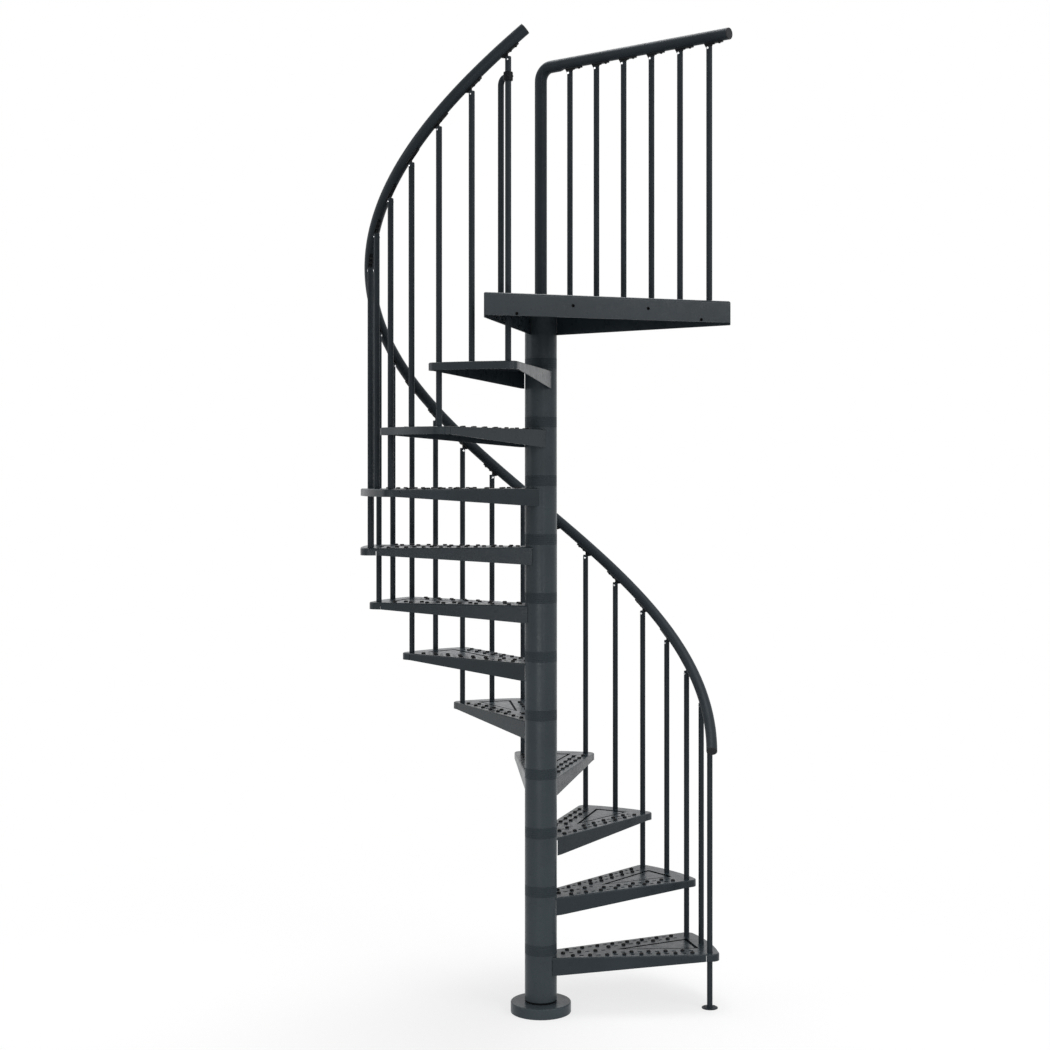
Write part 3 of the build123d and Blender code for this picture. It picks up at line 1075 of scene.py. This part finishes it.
guard_place = Matrix.Rotation(guard_turn, 4, "Z")
stub_start = elbow_length - stub_taper
post = bent_tube(
    "guard_post_tube", post_radius, column_top - post_sunk, elbow_height, elbow_radius, stub_start
)
edit(post)
pick(post, "FACE", lambda at: at.x > stub_start - fine_margin)
bpy.ops.mesh.extrude_region_move(TRANSFORM_OT_translate={"value": (stub_taper, 0, 0)})
bpy.ops.transform.resize(
    value=(1, rail_radius / post_radius, rail_radius / post_radius),
    center_override=(elbow_length, 0, elbow_height + post_radius),
)
leave()
post.data.transform(guard_place)
settle(post, rail_coat, "rail_coat", "guard_post")


# Guard rail: a length of the handrail tube, level, from the post's stub to past the landing.
# It is plugged at its free end, and its other end goes a little way into the stub.
spigot_depth = 0.003
spigot_edge = 0.0008
spigot_start = elbow_length - spigot_depth
bpy.ops.object.select_all(action="DESELECT")
bpy.ops.mesh.primitive_cylinder_add(
    vertices=36,
    radius=rail_radius,
    depth=guard_reach - spigot_start,
    location=((guard_reach + spigot_start) / 2, 0, guard_rail_height),
    rotation=(0, math.radians(90), 0),
)
guard_rail = named("guard_rail_tube")
edit(guard_rail)
pick(guard_rail, "EDGE", lambda at: at.x < spigot_start + fine_margin)
bpy.ops.mesh.bevel(offset=spigot_edge, segments=2, affect="EDGES")
leave()
guard_rail.data.transform(guard_place)
settle(guard_rail, rail_coat, "rail_coat", "guard_rail")
guard_end = guard_place @ Matrix.Translation((guard_reach, 0, guard_rail_height))
guard_plug = rail_plug("guard_plug", guard_end)
settle(guard_plug, cap_plastic, "cap_plastic", "guard_rail_cap")


# Guard balusters: six steel tubes between the landing and the guard rail, on the same brackets.
# They stand along the landing's open edge, each with a bright bolt through its head.
guard_count = 6
guard_first = 0.128
guard_last_inset = 0.030
guard_pitch = (guard_span - guard_last_inset - guard_first) / (guard_count - 1)
guard_drop = 0.030
guard_bolt_drop = 0.006
guard_neck = baluster_radius - web_inset
guard_toe = 0.014
guard_bar = baluster("guard_bar", guard_rail_height - guard_drop - landing_top)
guard_bracket = rail_bracket("guard_bracket", 0, guard_drop, guard_neck, guard_toe)
crosswise = Matrix.Rotation(math.radians(90), 4, "Z")
guard_bars = []
guard_brackets = []
guard_bolts = []
for index in range(guard_count):
    along = guard_place @ Matrix.Translation((guard_first + index * guard_pitch, 0, 0))
    bar_place = along @ Matrix.Translation((0, 0, landing_top))
    bracket_place = along @ Matrix.Translation((0, 0, guard_rail_height))
    bolt_place = along @ Matrix.Translation((0, 0, guard_rail_height - guard_drop - guard_bolt_drop))
    guard_bars.append(copied(guard_bar, "guard_bar_copy", bar_place))
    guard_brackets.append(copied(guard_bracket, "guard_bracket_copy", bracket_place))
    guard_bolts.append(copied(bolt, "guard_bolt", bolt_place @ crosswise))
bpy.data.objects.remove(guard_bar)
bpy.data.objects.remove(guard_bracket)
bpy.data.objects.remove(bolt)
settle(joined(guard_bars, "guard_bars"), rail_coat, "rail_coat", "guard_balusters")
settle(joined(guard_brackets, "guard_brackets"), bracket_coat, "bracket_coat", "guard_rail_brackets")
settle(joined(guard_bolts, "guard_bolts"), bolt_zinc, "bracket_coat")


# Link post: a bent steel tube that stands on the landing and reaches to the stair's last baluster.
# It steadies the top of the handrail where the stair meets the landing.
link_inset = 0.158
link_edge_inset = 0.0142
link_drop = 0.103
link_bend = 0.022
link_reach = landing_reach - link_inset
link_side = root_half_width + landing_spread * (link_reach - root_reach) - link_edge_inset
link_height = rail_height(2 * tread_count) - link_drop
link_foot = Matrix.Rotation(landing_direction, 4, "Z") @ Vector((link_reach, -link_side, 0))
to_baluster = last_baluster.translation.xy - link_foot.xy
link_turn = Matrix.Rotation(math.atan2(to_baluster.y, to_baluster.x), 4, "Z")
link_place = Matrix.Translation((link_foot.x, link_foot.y, 0)) @ link_turn
link_end = to_baluster.length - baluster_radius
link = bent_tube("link_tube", baluster_radius, landing_top, link_height, link_bend, link_end)
link.data.transform(link_place)
settle(link, rail_coat, "rail_coat", "landing_link_post")


# Clamp: a split collar of cast alloy round the last baluster, which takes the link's end.
# Its edges are rounded by the mould, and it is coated like the brackets and drawn shut by a bolt.
clamp_radius = 0.015
clamp_height = 0.028
clamp_edge = 0.002
clamp_play = 0.0002
nut_radius = 0.0036
nut_depth = 0.004
nut_out = 0.0008
nut_across = 0.0092
nut_edge = 0.0004
nut_corner = math.radians(80)
clamp_middle = Vector((to_baluster.length, 0))

bpy.ops.object.select_all(action="DESELECT")
bpy.ops.mesh.primitive_cylinder_add(
    vertices=40, radius=clamp_radius, depth=clamp_height, location=(to_baluster.length, 0, link_height)
)
clamp = named("link_collar")
edit(clamp)
bpy.ops.mesh.edges_select_sharp(sharpness=square_edge)
bpy.ops.mesh.bevel(offset=clamp_edge, segments=3, affect="EDGES")
pick(clamp, "FACE", lambda at: abs(at.z - link_height) > clamp_height / 2 - fine_margin)
bpy.ops.mesh.inset(thickness=clamp_radius - clamp_edge - baluster_radius - clamp_play)
bpy.ops.mesh.delete(type="FACE")
bore_edge = baluster_radius + clamp_play + fine_margin
pick(clamp, "EDGE", lambda at: (at.xy - clamp_middle).length < bore_edge)
bpy.ops.mesh.bridge_edge_loops()
leave()
pinch = []
for side in (-1, 1):
    bpy.ops.object.select_all(action="DESELECT")
    bpy.ops.mesh.primitive_cylinder_add(
        vertices=6,
        radius=nut_radius,
        depth=nut_depth,
        location=(to_baluster.length + baluster_radius + nut_out, side * nut_across, link_height),
        rotation=(math.radians(90), 0, 0),
    )
    nut = named("pinch_nut")
    edit(nut)
    bpy.ops.mesh.edges_select_sharp(sharpness=nut_corner)
    bpy.ops.mesh.bevel(offset=nut_edge, segments=1, affect="EDGES")
    leave()
    pinch.append(nut)
clamp = joined([clamp, *pinch], "link_collar")
clamp.data.transform(link_place)
settle(clamp, bracket_coat, "bracket_coat", "link_clamp")


# Pole: the threaded steel core of the column, out of sight inside the tubes.
# It keeps the CAD solid and takes the column's coat.
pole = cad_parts["centre_pole"]
pole.data.materials.clear()
pole.data.materials.append(column_coat)


# Studio: a white floor under a white sky, lit by five large soft lamps round the stair.
# The camera stands level, a little above half the stair's height, six metres off.
view_turn = math.radians(-20.65)
floor_radius = 40
floor_drop = 0.0005
lamp_aim = Vector((0, 0, 1.7))
eye_distance = 6.0356
eye_height = 1.889


def seen_by_eye(tree):
    path = tree.nodes.new("ShaderNodeLightPath")
    mirrored = tree.nodes.new("ShaderNodeMath")
    mirrored.operation = "MAXIMUM"
    seen = tree.nodes.new("ShaderNodeMath")
    seen.operation = "MAXIMUM"
    tree.links.new(path.outputs["Is Glossy Ray"], mirrored.inputs[0])
    tree.links.new(path.outputs["Is Transmission Ray"], mirrored.inputs[1])
    tree.links.new(path.outputs["Is Camera Ray"], seen.inputs[0])
    tree.links.new(mirrored.outputs["Value"], seen.inputs[1])
    return seen.outputs["Value"]


# The floor throws more light up near the stair than further off, and fades to plain white.
floor_white = bpy.data.materials.new("floor_white")
floor_white.use_nodes = True
paint = floor_white.node_tree
paint.nodes.remove(paint.nodes["Principled BSDF"])
floor_seen = seen_by_eye(paint)
matt = paint.nodes.new("ShaderNodeBsdfDiffuse")
tone = paint.nodes.new("ShaderNodeMapRange")
tone.inputs["To Max"].default_value = 0.95
paint.links.new(floor_seen, tone.inputs["Value"])
paint.links.new(tone.outputs["Result"], matt.inputs["Color"])
white = paint.nodes.new("ShaderNodeEmission")
spot = paint.nodes.new("ShaderNodeTexCoord")
distance = paint.nodes.new("ShaderNodeVectorMath")
distance.operation = "LENGTH"
bounce = paint.nodes.new("ShaderNodeMapRange")
bounce.interpolation_type = "SMOOTHSTEP"
bounce.inputs["From Min"].default_value = 0.3
bounce.inputs["From Max"].default_value = 1.5
bounce.inputs["To Min"].default_value = 0.9
bounce.inputs["To Max"].default_value = 0.18
paint.links.new(distance.outputs["Value"], bounce.inputs["Value"])
paint.links.new(bounce.outputs["Result"], tone.inputs["To Min"])
fade = paint.nodes.new("ShaderNodeMapRange")
fade.interpolation_type = "SMOOTHSTEP"
fade.inputs["From Min"].default_value = 0.7
fade.inputs["From Max"].default_value = 3.0
fade.inputs["To Min"].default_value = 0.72
fade.inputs["To Max"].default_value = 1.0
share = paint.nodes.new("ShaderNodeMath")
share.operation = "MULTIPLY"
blend = paint.nodes.new("ShaderNodeMixShader")
paint.links.new(spot.outputs["Object"], distance.inputs[0])
paint.links.new(distance.outputs["Value"], fade.inputs["Value"])
paint.links.new(fade.outputs["Result"], share.inputs[0])
paint.links.new(floor_seen, share.inputs[1])
paint.links.new(share.outputs["Value"], blend.inputs["Fac"])
paint.links.new(matt.outputs["BSDF"], blend.inputs[1])
paint.links.new(white.outputs["Emission"], blend.inputs[2])
paint.links.new(blend.outputs["Shader"], paint.nodes["Material Output"].inputs["Surface"])
bpy.ops.object.select_all(action="DESELECT")
bpy.ops.mesh.primitive_circle_add(
    vertices=96, radius=floor_radius, fill_type="NGON", location=(0, 0, -floor_drop)
)
floor = named("studio_floor")
floor.data.materials.append(floor_white)

world = bpy.data.worlds.new("studio_sky")
world.use_nodes = True
bpy.context.scene.world = world
sky = world.node_tree
background = sky.nodes["Background"]
background.inputs["Color"].default_value = (1, 1, 1, 1)
level = sky.nodes.new("ShaderNodeMapRange")
level.inputs["To Min"].default_value = 0.45
level.inputs["To Max"].default_value = 1.0
sky.links.new(seen_by_eye(sky), level.inputs["Value"])
sky.links.new(level.outputs["Result"], background.inputs["Strength"])

for name, place, width, height, power in (
    ("lamp_front_strip", (2.1, -5.6, 1.8), 0.6, 3.6, 28),
    ("lamp_right", (4.0, -3.4, 4.2), 3.0, 3.0, 95),
    ("lamp_left", (-5.6, -0.2, 3.2), 3.0, 3.0, 56),
    ("lamp_low_front", (-1.4, -6.4, 0.5), 3.6, 0.8, 80),
    ("lamp_top", (0.0, 1.2, 6.5), 3.5, 3.5, 230),
):
    place = Matrix.Rotation(view_turn, 4, "Z") @ Vector(place)
    bpy.ops.object.select_all(action="DESELECT")
    bpy.ops.object.light_add(type="AREA", location=place)
    lamp = bpy.context.active_object
    lamp.name = name
    lamp.data.shape = "RECTANGLE"
    lamp.data.size = width
    lamp.data.size_y = height
    lamp.data.energy = power
    lamp.rotation_euler = (lamp_aim - place).to_track_quat("-Z", "Y").to_euler()

eye = Matrix.Rotation(view_turn, 4, "Z") @ Vector((0, -eye_distance, eye_height))
bpy.ops.object.camera_add(location=eye, rotation=(math.radians(90), 0, view_turn))
camera = bpy.context.active_object
camera.name = "photo_camera"
camera.data.lens = 59.47
camera.data.sensor_width = 36.0
camera.data.shift_x = -0.0151
camera.data.shift_y = -0.0543
camera.data.clip_end = 200
bpy.context.scene.camera = camera
